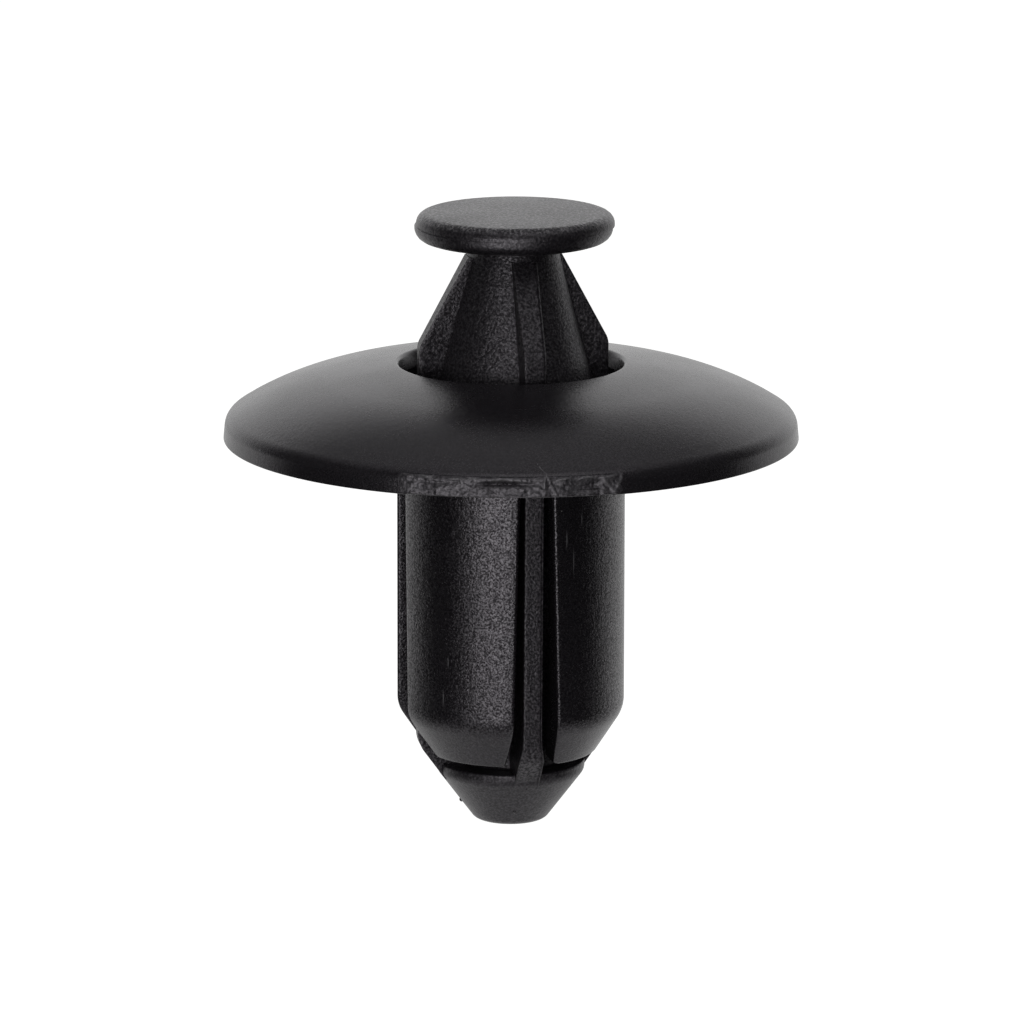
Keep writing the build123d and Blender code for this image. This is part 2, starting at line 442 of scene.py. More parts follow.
def makeNylon(name, look):
    material = bpy.data.materials.new(name)
    material.use_nodes = True
    tree = material.node_tree
    shader = tree.nodes["Principled BSDF"]
    shader.inputs["IOR"].default_value = nylon["ior"]
    shader.inputs["Specular Tint"].default_value = hexColour(nylon["tint"])
    # millimetres, because a texture's own Scale stops at 1000
    coords = addNode(tree, "ShaderNodeTexCoord")
    place = addNode(tree, "ShaderNodeMapping", inputs={
        "Vector": coords.outputs["Object"], "Scale": [1 / mm] * 3,
    }).outputs[0]
    drawn = addNode(tree, "ShaderNodeMapping", inputs={
        "Vector": place, "Scale": (1, 1, nylon["dragStretch"]),
    }).outputs[0]
    height = addNode(tree, "ShaderNodeSeparateXYZ", inputs={0: place}).outputs["Z"]

    # eroded pits, soft pebbling, drag lines left along the axis as the part leaves the mould,
    # drifts of dust, and clouds from the way the melt cooled: spacing, detail and roughness
    noises = {
        "pits": (place, look["pitSpacing"], 3.0, 0.6),
        "pebbles": (place, look["pebbleSpacing"], 2.0, 0.5),
        "drag": (drawn, look["dragSpacing"], 3.0, 0.7),
        "powder": (place, nylon["dustSpacing"], 3.0, 0.65),
        "melt": (place, nylon["meltSpacing"], 2.0, 0.5),
    }
    field = {}
    for label, (where, spacing, detail, roughness) in noises.items():
        field[label] = addNode(tree, "ShaderNodeTexNoise", inputs={
            "Vector": where, "Scale": 1 / spacing, "Detail": detail, "Roughness": roughness,
        }).outputs["Fac"]

    # how much of the grain the mould's polish leaves and where dust settles go by height; the
    # rest goes by the noises
    dustFoot = look["dustAbove"]
    ranges = {
        "above": (height, look["polishedAbove"], (1.0, look["polishedAboveShare"])),
        "below": (height, look["polishedBelow"], (look["polishedBelowShare"], 1.0)),
        "settled": (height, (dustFoot, dustFoot + nylon["dustDepth"]), (0.0, 1.0)),
        "dull": (field["powder"], nylon["dullFrom"], nylon["dullSparkle"]),
        "thick": (field["powder"], nylon["dustFrom"], (0.0, look["dustShare"])),
        "clouds": (field["melt"], nylon["cloudFrom"], (0.0, 1.0)),
        "grain": (field["pits"], nylon["grainFrom"], (0.0, 1.0)),
        "spark": (field["pits"], nylon["sparkFrom"], look["sparkle"]),
    }
    for label, (value, source, target) in ranges.items():
        curve = "SMOOTHSTEP" if label == "spark" else "LINEAR"
        field[label] = addNode(tree, "ShaderNodeMapRange", {"interpolation_type": curve}, {
            "Value": value, **dict(zip(rangeEnds, source + target)),
        }).outputs[0]
    for label, operation, first, second in (
        ("kept", "MULTIPLY", "above", "below"),
        ("pitsHere", "MULTIPLY", "pits", "kept"),
        ("pebblesHere", "MULTIPLY", "pebbles", "kept"),
        ("dust", "MULTIPLY", "thick", "settled"),
        ("mixed", "ADD", "clouds", "grain"),
    ):
        field[label] = addNode(tree, "ShaderNodeMath", {"operation": operation}, {
            0: field[first], 1: field[second],
        }).outputs[0]

    # relief: each bump stands on the one before it
    under = {}
    for relief, depth in (
        (field["pebblesHere"], look["pebbleHeight"]),
        (field["drag"], look["dragHeight"]),
        (field["pitsHere"], look["pitHeight"]),
    ):
        bump = addNode(tree, "ShaderNodeBump", inputs={
            "Height": relief, "Distance": depth * mm, **under,
        })
        under = {"Normal": bump.outputs[0]}
    tree.links.new(bump.outputs[0], shader.inputs["Normal"])

    # sparks: some pits throw the lamps back and others swallow them; dust dulls them
    sparkHere = addNode(tree, "ShaderNodeMix", {"data_type": "FLOAT"}, {
        "Factor": field["kept"], 2: nylon["polishedSparkle"], 3: field["spark"],
    })
    dullHere = addNode(tree, "ShaderNodeMix", {"data_type": "FLOAT"}, {
        "Factor": field["settled"], 2: 1.0, 3: field["dull"],
    })
    sparkle = addNode(tree, "ShaderNodeMath", {"operation": "MULTIPLY"}, {
        0: sparkHere.outputs[0], 1: dullHere.outputs[0],
    })
    tree.links.new(sparkle.outputs[0], shader.inputs["Specular IOR Level"])

    # gloss: the sum of clouds and grain, which reaches 2
    low, high = look["roughness"]
    gloss = addNode(tree, "ShaderNodeMapRange", inputs={
        "Value": field["mixed"], "From Max": 2.0, "To Min": low, "To Max": high,
    })
    tree.links.new(gloss.outputs[0], shader.inputs["Roughness"])

    # colour: black with a paler bloom in the pits, and over it dust, a few pale grains, handling marks
    # and painted highlights, the paleness that nylon takes on where it was stretched as it tore, and a
    # painted highlight along the torn ridge's crest
    body = addNode(tree, "ShaderNodeMix", {"data_type": "RGBA"}, {
        "Factor": field["grain"], 6: hexColour(look["colour"]), 7: hexColour(look["paleColour"]),
    })
    cells = addNode(tree, "ShaderNodeTexVoronoi", inputs={
        "Vector": place, "Scale": 1 / look["speckSpacing"],
    })
    near = addNode(tree, "ShaderNodeMath", {"operation": "LESS_THAN"}, {
        0: cells.outputs["Distance"], 1: nylon["speckRadius"] / look["speckSpacing"],
    })
    chosen = addNode(tree, "ShaderNodeSeparateColor", inputs={"Color": cells.outputs["Color"]})
    rare = addNode(tree, "ShaderNodeMath", {"operation": "GREATER_THAN"}, {
        0: chosen.outputs[0], 1: nylon["speckRarity"],
    })
    speck = addNode(tree, "ShaderNodeMath", {"operation": "MULTIPLY"}, {
        0: near.outputs[0], 1: rare.outputs[0],
    })
    layers = [(field["dust"], nylon["dustScuffAndGlintColour"]), (speck.outputs[0], nylon["speckColour"])]
    # pale spots: real handling marks on the grommet, painted highlights under the pin's head
    for turn, r, z, halfWidth, halfLength in look["scuffsAndGlints"]:
        angle = radians(view["turn"] + turn)
        offset = addNode(tree, "ShaderNodeVectorMath", {"operation": "SUBTRACT"}, {
            0: place, 1: (sin(angle) * r, -cos(angle) * r, z),
        })
        scaled = addNode(tree, "ShaderNodeVectorMath", {"operation": "MULTIPLY"}, {
            0: offset.outputs[0], 1: (1 / halfWidth, 1 / halfWidth, 1 / halfLength),
        })
        reach = addNode(tree, "ShaderNodeVectorMath", {"operation": "LENGTH"}, {0: scaled.outputs[0]})
        scuffAndGlint = addNode(tree, "ShaderNodeMapRange", inputs={
            "Value": reach.outputs["Value"],
            **dict(zip(rangeEnds, (*nylon["scuffAndGlintEdge"], nylon["scuffAndGlintShare"], 0.0))),
        })
        layers.append((scuffAndGlint.outputs[0], nylon["dustScuffAndGlintColour"]))
    if "whitenedAndHighlight" in look:
        # the mesh carries how much it was stretched, and on the ridge's crest a painted highlight
        whitenedAndLit = addNode(tree, "ShaderNodeAttribute", {"attribute_name": "stretch"})
        layers.append((whitenedAndLit.outputs["Fac"], look["whitenedAndHighlight"]))
    colour = body.outputs[2]
    for share, code in layers:
        colour = addNode(tree, "ShaderNodeMix", {"data_type": "RGBA"}, {
            "Factor": share, 6: colour, 7: hexColour(code),
        }).outputs[2]
    tree.links.new(colour, shader.inputs["Base Color"])
    return material


grommetNylon = makeNylon("mouldedBlackNylonGrommet", grommetLook)
pinNylon = makeNylon("mouldedBlackNylonPin", pinLook)
tornNylon = makeNylon("tornBlackNylonAtGate", tornLook)
print("nylon ready")


# Grommet: domed flange, recess and four legs in one moulding
grommet = {
    "rimHeight": 0.96,
    "rimDraft": 0.09,
    "rimRound": 0.69,
    "rimTangent": 0.75,  # how far in from the rim's top the dome takes over
    "rimFootRound": 0.06,
    "seatEdgeRound": 0.04,
    "crownRadius": 38.3,
    "shoulderStart": 8.02,
    "shoulderRadius": 12.65,
    "wall": 1.1,
    "seatWidth": 0.8,
    "recessRadius": 4.93,
    "recessDepth": 1.25,
    "recessDraftDepth": 0.68,
    "recessDraftRun": 0.24,
    "recessDraftRound": 0.2,
    "recessLipRound": 0.15,
    "recessLipTangent": 0.25,
    "recessFootRound": 0.2,
    "cupWall": 0.97,
    "cupRound": 0.15,
    "floorWall": 1.0,
    "boreRadius": 3.6,
    "boreEdgeRound": 0.08,
    "legRadius": 4.96,
    "legTipBore": 2.45,
    "taperStart": -8.0,
    "chamferHeight": 1.9,
    "chamferRun": 1.23,
    "chamferRound": 1.5,
    "endRound": 0.2,
    "cornerRound": 0.3,
    "edgeRound": 0.12,
    "innerEdgeRound": 0.06,
    "slotTopHalf": 0.63,
    "slotDraft": 1.36,
    "floorSlotReach": 4.35,
    "embed": 0.4,
    "legCount": 4,
    "legStep": 0.6,
    "wallSteps": 44,
    "domeSteps": 70,
    "turnSegments": 360,
}


def domeHeight(r, inset=0):
    # a flat crown that turns down over a rounder shoulder; inset gives the parallel underside
    g = grommet
    slope = g["shoulderStart"] / g["crownRadius"]
    shoulderR = g["shoulderStart"] - g["shoulderRadius"] * slope
    rimTop = grommetHigh.x - g["rimDraft"]
    shoulderZ = g["rimHeight"] - sqrt(g["shoulderRadius"] ** 2 - (rimTop - shoulderR) ** 2)
    crownZ = shoulderZ - (g["crownRadius"] - g["shoulderRadius"]) * sqrt(1 - slope ** 2)
    if r < g["shoulderStart"] - inset * slope:
        return crownZ + sqrt((g["crownRadius"] - inset) ** 2 - r ** 2)
    return shoulderZ + sqrt((g["shoulderRadius"] - inset) ** 2 - (r - shoulderR) ** 2)


recessLip = domeHeight(grommet["recessRadius"])
floorTop = recessLip - grommet["recessDepth"]
floorUnder = floorTop - grommet["floorWall"]
legEnd = grommetLow.z


def flangePath():
    g = grommet
    flangeRadius = grommetHigh.x
    rimTop = flangeRadius - g["rimDraft"]
    seatInner = flangeRadius - g["seatWidth"]
    cup = g["recessRadius"] + g["cupWall"]
    wallFoot = g["recessRadius"] - g["recessDraftRun"]

    def sweep(start, end, inset=0):
        steps = g["domeSteps"]
        stations = [start + (end - start) * i / steps for i in range(steps + 1)]
        return [(r, domeHeight(r, inset)) for r in stations]

    path = roundedPath([
        (seatInner, 0, g["seatEdgeRound"]),
        (flangeRadius, 0, g["rimFootRound"]),
        (rimTop, g["rimHeight"], g["rimRound"]),
        *sweep(rimTop - g["rimTangent"], g["recessRadius"] + g["recessLipTangent"]),
        (g["recessRadius"], recessLip, g["recessLipRound"]),
        (wallFoot, recessLip - g["recessDraftDepth"], g["recessDraftRound"]),
        (wallFoot, floorTop, g["recessFootRound"]),
        (g["boreRadius"], floorTop, g["boreEdgeRound"]),
        (g["boreRadius"], floorUnder),
        (cup, floorUnder, g["cupRound"]),
        *sweep(cup, seatInner, g["wall"]),
    ], closed=True)
    return path + path[:1]


def slotHalf(z):
    # half a slot's width at a height: drafted, then flared where the leg's corner is rounded
    g = grommet
    cornerTop = legEnd + g["cornerRound"]
    straight = g["slotTopHalf"] + tan(radians(g["slotDraft"])) * (floorTop - max(z, cornerTop))
    if z >= cornerTop:
        return straight
    drop = min(cornerTop - z, g["cornerRound"])
    return straight + g["cornerRound"] - sqrt(g["cornerRound"] ** 2 - drop ** 2)


def legOuterPath():
    # the outside of a leg from its end up to the floor, as (r, z)
    g = grommet
    endRadius = g["legRadius"] - g["chamferRun"]
    return roundedPath([
        (endRadius - 0.5, legEnd),
        (endRadius, legEnd, g["endRound"]),
        (g["legRadius"], legEnd + g["chamferHeight"], g["chamferRound"]),
        (g["legRadius"], floorUnder + g["embed"]),
    ], arcSteps=8)


def legSection(outer, z):
    # a quarter of a tube between two slots, its edges rounded, as one closed loop
    g = grommet
    steps = g["wallSteps"]
    inner = g["boreRadius"]
    if z < g["taperStart"]:
        narrowing = g["boreRadius"] - g["legTipBore"]
        inner -= narrowing * (g["taperStart"] - z) / (g["taperStart"] - legEnd)
    half = slotHalf(z)
    edge, innerEdge = g["edgeRound"], g["innerEdgeRound"]
    outerX = sqrt((outer - edge) ** 2 - (half + edge) ** 2)
    outerTurn = atan2(half + edge, outerX)
    innerX = sqrt((inner + innerEdge) ** 2 - (half + innerEdge) ** 2)
    innerTurn = atan2(half + innerEdge, innerX)
    side = arcPoints((innerX, half + innerEdge), innerEdge, innerTurn + pi, 1.5 * pi, 3)
    side += arcPoints((outerX, half + edge), edge, -pi / 2, outerTurn, 5)
    wall = arcPoints((0, 0), outer, outerTurn, pi / 2 - outerTurn, steps)[1:-1]
    bore = arcPoints((0, 0), inner, pi / 2 - innerTurn, innerTurn, steps)[1:-1]
    farSide = [(y, x) for x, y in reversed(side)]
    return [(x, y, z) for x, y in side + wall + farSide + bore]


def heightLevels(path, step):
    # the path's places from the bottom up, with more between any two that lie far apart
    levels = []
    for r, z in path:
        if levels and z - levels[-1][1] > 2 * step:
            lowR, lowZ = levels[-1]
            count = round((z - lowZ) / step)
            shares = [k / count for k in range(1, count)]
            levels += [(lowR + (r - lowR) * share, lowZ + (z - lowZ) * share) for share in shares]
        if not levels or z > levels[-1][1] + 1e-6:
            levels.append((r, z))
    return levels


def legMesh():
    levels = heightLevels(legOuterPath()[1:], grommet["legStep"])
    return loftedMesh("leg", [legSection(r, z) for r, z in levels])


def boxMesh(name, low, high):
    bm = bmesh.new()
    bmesh.ops.create_cube(bm, size=1)
    middle = [(a + b) / 2 for a, b in zip(low, high)]
    size = [b - a for a, b in zip(low, high)]
    for v in bm.verts:
        v.co = Vector([(m + c * s) * mm for m, c, s in zip(middle, v.co, size)])
    return meshObject(name, bm)


def turnFromCamera(x, y):
    # degrees round the axis from the camera's side, to the camera's right
    return (degrees(atan2(x, -y)) - view["turn"] + 180) % 360 - 180


def makeGrommet():
    g = grommet
    flange = turnedPiece("grommetMoulding", flangePath(), grommetNylon, g["turnSegments"])
    # a trough in the front of the rim, which the torn gate's own finer mesh fills
    low, high = gateScar["trough"]
    for vertex in flange.data.vertices:
        x, y, z = vertex.co / mm
        r = sqrt(x * x + y * y)
        inFront = abs(turnFromCamera(x, y)) < gateScar["troughHalfTurn"]
        if inFront and low < z < high and r > gateScar["troughFrom"]:
            vertex.co.xy *= 1 - gateScar["troughDepth"] / r
    reach, half = g["floorSlotReach"], slotHalf(floorUnder)
    below, over = floorUnder - 1, floorTop + 1
    slots = [
        boxMesh("slotX", (-reach, -half, below), (reach, half, over)),
        boxMesh("slotY", (-half, -reach, below), (half, reach, over)),
    ]
    flange = fuse(flange, slots, "DIFFERENCE")
    legs = ringOf("legs", legMesh(), g["legCount"], grommetNylon)
    piece = fuse(flange, [legs])
    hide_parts("grommet")
    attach(piece, "grommet")
    return piece


# Gate scar: where the runner was torn off the front of the rim. Turns are degrees from the
# camera's side, places on the rim are millimetres up its profile from the seat.
gateScar = {
    "halfTurn": 23.4,
    "columns": 330,
    "rows": 66,
    "start": -0.3,
    "reach": 2.2,
    "band": (-0.02, 0.92),
    "bandFade": (0.08, 0.07),
    "endFade": (0.6, 2.2),
    "endRagged": 0.8,
    "trough": (-0.1, 0.84),
    "troughFrom": 11.93,
    "troughHalfTurn": 20.2,
    "troughDepth": 0.24,
    "thickness": 0.32,
    "sunk": 0.03,
    "proudPastTrough": 0.03,
    # spacing and height
    "lumps": (0.5, 0.05),
    "grit": (0.13, 0.014),
    "ridge": {"place": 0.78, "width": 0.05, "height": 0.07, "spacing": 0.5, "wander": 0.05},
    # the ridge's crest is also drawn paler: a painted highlight
    "crestPaintedHighlight": 0.35,
    "patchSpacing": 0.6,
    "patchPaleness": 0.18,
    "fraySpacing": 0.12,
    # hollows: turn, place, half width in degrees, half height, depth
    "hollows": [
        (-1.2, 0.57, 5.2, 0.085, 0.16),
        (-5.2, 0.55, 1.4, 0.10, 0.05),
        (-14.5, 0.58, 2.6, 0.07, 0.05),
        (14.6, 0.44, 2.4, 0.26, 0.12),
        (16.9, 0.44, 0.8, 0.30, 0.10),
        (8.6, 0.52, 0.9, 0.10, 0.05),
    ],
    # strands: a line of (turn, place), then its half width and height, and how much it was stretched
    "strands": [
        ([(5.3, 1.62), (6.0, 1.30), (7.0, 0.98), (7.6, 0.62), (8.8, 0.12)], 0.045, 0.07, 0.28),
        ([(6.9, 0.98), (6.4, 0.62), (6.6, 0.20)], 0.06, 0.05, 0.28),
        ([(18.0, 0.80), (18.9, 0.50), (20.3, 0.14)], 0.08, 0.045, 0.24),
        ([(22.2, 0.92), (21.6, 0.55), (20.3, 0.14)], 0.08, 0.045, 0.24),
        ([(-4.2, 0.74), (-2.2, 0.79), (0.6, 0.77), (1.8, 0.72)], 0.045, 0.05, 0.75),
        ([(-17.6, 0.86), (-16.4, 0.80), (-15.6, 0.82)], 0.04, 0.04, 0.6),
        ([(-9.8, 0.72), (-9.5, 0.60)], 0.04, 0.04, 0.5),
        ([(-8.2, 0.80), (-6.4, 0.82)], 0.035, 0.03, 0.5),
        ([(13.6, 0.76), (15.0, 0.82), (16.4, 0.78)], 0.07, 0.045, 0.3),
    ],
}


def rimPath():
    # the outside of the rim from its foot, up and over on to the dome, in even steps
    rimTop = grommetHigh.x - grommet["rimDraft"]
    inner = rimTop - grommet["rimTangent"]
    path = roundedPath([
        (grommetHigh.x + gateScar["start"], 0),
        (grommetHigh.x, 0, grommet["rimFootRound"]),
        (rimTop, grommet["rimHeight"], grommet["rimRound"]),
        (inner, domeHeight(inner)),
        (inner - 1, domeHeight(inner - 1)),
    ], arcSteps=30)
    lengths = [0.0]
    for before, after in zip(path, path[1:]):
        lengths.append(lengths[-1] + (after - before).length)
    places = []
    for row in range(gateScar["rows"] + 1):
        along = (gateScar["reach"] - gateScar["start"]) * row / gateScar["rows"]
        k = max(i for i in range(len(lengths) - 1) if lengths[i] <= along)
        step = (path[k + 1] - path[k]).normalized()
        place = path[k] + step * (along - lengths[k])
        places.append((along + gateScar["start"], place, Vector((step.y, -step.x))))
    return places


def smoothStep(value, low, high):
    share = min(max((value - low) / (high - low), 0), 1)
    return share * share * (3 - 2 * share)


def scarHeight(turn, along):
    # how far the torn face stands out from the rim's own profile, and how pale it is: pale where
    # stretched, and on the ridge's crest a painted highlight; the last number of each noise place only
    # picks a pattern of its own
    s = gateScar
    across = radians(turn) * grommetHigh.x
    low, high = s["band"]
    foot, head = s["bandFade"]
    inBand = smoothStep(along, low, low + foot) * smoothStep(-along, -high, head - high)
    # its ends run out raggedly
    end = s["halfTurn"] - abs(turn)
    end += s["endRagged"] * noise.noise(Vector((turn / 9, along / 0.35, 4.4)))
    inBand *= smoothStep(end, *s["endFade"])

    spacing, amount = s["lumps"]
    height = amount * noise.fractal(Vector((across, along * 1.6, 3.1)) / spacing, 0.9, 2.0, 3)
    spacing, amount = s["grit"]
    height += amount * noise.fractal(Vector((across, along, 7.7)) / spacing, 0.8, 2.0, 3)
    ridge = s["ridge"]
    broken = 0.5 + noise.noise(Vector((across / ridge["spacing"], 0, 5.5))) * 1.2
    wander = ridge["place"] + ridge["wander"] * noise.noise(Vector((across / 0.8, 0, 1.5)))
    crest = max(broken, 0) * exp(-((along - wander) / ridge["width"]) ** 2)
    height += ridge["height"] * crest
    patches = noise.fractal(Vector((across, along * 2, 9.3)) / s["patchSpacing"], 0.9, 2.0, 2)
    # the crest's paleness is a painted highlight; the patches are pale where the nylon was stretched
    paleness = s["crestPaintedHighlight"] * crest ** 2 + max(s["patchPaleness"] * patches, 0)
    stretch = inBand * min(paleness, 1)
    for middle, place, halfTurn, halfHeight, depth in s["hollows"]:
        sideways, upwards = (turn - middle) / halfTurn, (along - place) / halfHeight
        height -= depth * exp(-sideways ** 4 - upwards ** 2)
    # past the trough it lies on the rim itself
    edge = s["troughHalfTurn"]
    height += s["proudPastTrough"] * smoothStep(abs(turn), edge - 0.8, edge + 0.2)
    height = inBand * height - (1 - inBand) * s["sunk"]

    for line, halfWidth, stand, pale in s["strands"]:
        here = Vector((across, along))
        points = [Vector((radians(t) * grommetHigh.x, place)) for t, place in line]
        gaps = []
        for start, end in zip(points, points[1:]):
            run = end - start
            share = min(max((here - start).dot(run) / run.length_squared, 0), 1)
            gaps.append((here - start.lerp(end, share)).length)
        gap = min(gaps)
        if gap < 3 * halfWidth:
            frayed = 0.7 + 0.6 * noise.noise(Vector((across, along, 2.2)) / s["fraySpacing"])
            near = exp(-(gap / halfWidth) ** 2)
            height += stand * frayed * near
            stretch = max(stretch, pale * frayed * near)
    return height, stretch


def makeGateScar():
    # a closed skin: the torn face outside, and a plain back sunk in the rim
    s = gateScar
    bm = bmesh.new()
    places = rimPath()
    # each vertex carries its paleness: stretch whitening, and on the ridge's crest a painted highlight
    pale = bm.verts.layers.float.new("stretch")
    front, back = [], []
    for column in range(s["columns"] + 1):
        turn = s["halfTurn"] * (2 * column / s["columns"] - 1)
        outward = outwardAt(turn)
        front.append([])
        back.append([])
        for along, place, normal in places:
            height, stretch = scarHeight(turn, along)
            for line, out in ((front[-1], height), (back[-1], -s["thickness"])):
                r, z = place + normal * out
                line.append(bm.verts.new((outward * r + Vector((0, 0, z))) * mm))
                line[-1][pale] = stretch
    rows = len(places) - 1
    for i in range(s["columns"]):
        for k in range(rows):
            bm.faces.new((front[i][k], front[i + 1][k], front[i + 1][k + 1], front[i][k + 1]))
            bm.faces.new((back[i][k], back[i][k + 1], back[i + 1][k + 1], back[i + 1][k]))
        bm.faces.new((front[i][0], back[i][0], back[i + 1][0], front[i + 1][0]))
        bm.faces.new((front[i][rows], front[i + 1][rows], back[i + 1][rows], back[i][rows]))
    for k in range(rows):
        bm.faces.new((front[0][k], front[0][k + 1], back[0][k + 1], back[0][k]))
        bm.faces.new((front[-1][k], back[-1][k], back[-1][k + 1], front[-1][k + 1]))
    piece = tidyMesh(meshObject("gateScar", bm), smoothAngle=80)
    piece.data.materials.append(tornNylon)
    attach(piece, "grommet")
    return piece


grommetPiece = makeGrommet()
scarPiece = makeGateScar()
print("gate scar:", len(scarPiece.data.polygons), "faces")
print("grommet:", len(grommetPiece.data.polygons), "faces")


# Push pin: head, conical core, four fins and nose in one moulding
pin = {
    "headRadius": 4.3,
    "headHeight": 1.19,
    "headCrown": 0.1,
    "headTopRound": 0.46,
    "headBottomRound": 0.57,
    "headParting": 0.65,
    "headStep": 0.02,
    "headShift": 0.07,
    "lean": 0.0042,
    "leanFoot": -14,
    "neckRadius": 1.9,
    "neckRound": 0.2,
    "camRadius": 3.5,
    "camDrop": 6.25,
    "camHeight": 0.6,
    "camRound": 0.5,
    "camRunOut": 5.9,
    "stemRadius": 2.2,
    "stemRound": 1.0,
    "stemFootRound": 0.15,
    "finRadius": 4.17,
    "finDrop": 0.62,
    "finSlope": 28.8,
    "shoulderRound": 0.9,
    "toeRound": 1.4,
    "toeHeight": 0.96,
    "toeDrop": 0.3,
    "finTopThickness": 1.1,
    "finThickness": 0.85,
    "rootThickness": 1.1,
    "rootHeight": 1.1,
    "rootFlare": 0.8,
    "finEdgeRound": 0.1,
    "finInside": 0.5,  # where a fin starts, inside the core
    "toeInside": 0.4,  # how far its toe runs on inside the nose
    "finStep": 0.45,
    "flashWidth": 0.075,
    "flashHeight": 0.085,
    "finCount": 4,
    "noseGap": 0.48,
    "noseRadius": 3.25,
    "noseBand": 0.42,
    "noseTip": 1.55,
    "noseRound": 0.5,
    "shelfRound": 0.08,
    "bandRound": 0.55,
    "nubs": [(-82, -16.2, 0.11), (5, -16.3, 0.09), (13, -15.05, 0.08)],
    "nubSunk": 0.04,
    "turnSegments": 240,
}
headTop = pinHigh.z - pin["headCrown"]
headUnder = headTop - pin["headHeight"]
shelf = legEnd - pin["noseGap"]
bandEnd = shelf - pin["noseBand"]


def corePath():
    p = pin
    # the crown's low dome, up to where the rounded edge begins
    crown = [
        (p["headRadius"] * i / 12, headTop + p["headCrown"] * (1 - (i / 12) ** 2))
        for i in range(11)
    ]
    camTop = headUnder - p["camDrop"]
    camBottom = camTop - p["camHeight"]
    return roundedPath([
        *crown,
        (p["headRadius"], headTop, p["headTopRound"]),
        (p["headRadius"], headUnder + p["headParting"] + p["headStep"] / 2),
        (p["headRadius"], headUnder + p["headParting"] - p["headStep"] / 2),
        (p["headRadius"], headUnder, p["headBottomRound"]),
        (p["neckRadius"] - 0.05, headUnder, p["neckRound"]),
        (p["camRadius"], camTop, p["camRound"]),
        (p["camRadius"], camBottom, p["camRound"]),
        (p["stemRadius"], camBottom - p["camRunOut"], p["stemRound"]),
        (p["stemRadius"], shelf, p["stemFootRound"]),
        (p["noseRadius"], shelf, p["shelfRound"]),
        (p["noseRadius"], bandEnd, p["bandRound"]),
        (p["noseTip"], pinLow.z, p["noseRound"]),
        (0, pinLow.z),
    ])


def finOutline():
    # the fin's outer edge from toe to top, as (r, z); its toe runs on inside the nose
    p = pin
    coreSlope = (p["camRadius"] - p["neckRadius"]) / p["camDrop"]
    finTop = headUnder - p["finDrop"]
    topRadius = p["neckRadius"] + p["finDrop"] * coreSlope
    shoulder = finTop - (p["finRadius"] - topRadius) / tan(radians(p["finSlope"]))
    toeStart = shelf + p["toeHeight"]
    toeEnd = shelf - p["toeDrop"]
    toeSlope = (p["finRadius"] - p["noseRadius"]) / (toeStart - toeEnd)
    inside = p["toeInside"]
    return roundedPath([
        (p["noseRadius"] - inside * toeSlope, toeEnd - inside),
        (p["finRadius"], toeStart, p["toeRound"]),
        (p["finRadius"], shoulder, p["shoulderRound"]),
        (topRadius, finTop),
    ], arcSteps=10)


def finHalfThickness(z):
    # thicker towards the head and at the root, and even between
    p = pin
    finTop = headUnder - p["finDrop"]
    root = shelf - p["toeDrop"] + p["rootHeight"]
    stops = [
        (root, p["rootThickness"]),
        (root + p["rootFlare"], p["finThickness"]),
        (0, p["finThickness"]),
        (finTop, p["finTopThickness"]),
    ]
    if z <= root:
        return p["rootThickness"] / 2
    for (lowZ, low), (highZ, high) in zip(stops, stops[1:]):
        if z <= highZ:
            return (low + (high - low) * (z - lowZ) / (highZ - lowZ)) / 2
    return p["finTopThickness"] / 2


def finSection(reach, z):
    # a slice through a fin out to its edge, where a thin line of flash stands on one corner
    half, edge, inside = finHalfThickness(z), pin["finEdgeRound"], pin["finInside"]
    face = half - edge
    outer = arcPoints((reach - edge, -face), edge, -pi / 2, 0, 5)
    outer += [(reach, face * (k / 4 - 1)) for k in range(1, 8)]
    outer += [
        (reach, half - 2.5 * pin["flashWidth"]),
        (reach, half - 1.6 * pin["flashWidth"]),
        (reach + pin["flashHeight"], half - pin["flashWidth"]),
        (reach + pin["flashHeight"], half - pin["flashWidth"] / 2),
        (reach, half),
        (reach - edge, half),
    ]
    web = [inside + (reach - edge - inside) * k / 6 for k in range(6)]
    loop = [(x, -half) for x in web] + outer + [(x, half) for x in reversed(web)]
    return [(x, y, z) for x, y in loop]


def finMesh():
    levels = heightLevels(finOutline(), pin["finStep"])
    return loftedMesh("fin", [finSection(r, z) for r, z in levels])


def nubMesh(turn, z, radius):
    # a blob of flash on the nose, at a turn from the camera's side
    share = (z - pinLow.z) / (bandEnd - pinLow.z)
    r = pin["noseTip"] + (pin["noseRadius"] - pin["noseTip"]) * share - pin["nubSunk"]
    angle = radians(view["turn"] + turn)
    bm = bmesh.new()
    bmesh.ops.create_icosphere(bm, subdivisions=3, radius=radius * mm)
    place = Vector((sin(angle) * r, -cos(angle) * r, z)) * mm
    bmesh.ops.translate(bm, verts=bm.verts, vec=place)
    nub = meshObject("nub", bm)
    nub.data.materials.append(pinNylon)
    return nub


def makePin():
    p = pin
    core = turnedPiece("pinMoulding", corePath(), pinNylon, p["turnSegments"])
    # the two halves of the head's mould met a little out of line, so its upper half sits aside
    turn = radians(view["turn"])
    aside = Vector((cos(turn), sin(turn), 0)) * p["headShift"] * mm
    for vertex in core.data.vertices:
        if vertex.co.z > (headUnder + p["headParting"]) * mm:
            vertex.co += aside
    fins = ringOf("fins", finMesh(), p["finCount"], pinNylon)
    nubs = [nubMesh(*nub) for nub in p["nubs"]]
    piece = fuse(core, [fins, *nubs])
    # it stands a little aslant in its slots, as far as their clearance lets it
    for vertex in piece.data.vertices:
        vertex.co += aside.normalized() * p["lean"] * (vertex.co.z - p["leanFoot"] * mm)
    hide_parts("push_pin")
    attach(piece, "push_pin")
    return piece


pinPiece = makePin()
print("pin:", len(pinPiece.data.polygons), "faces")


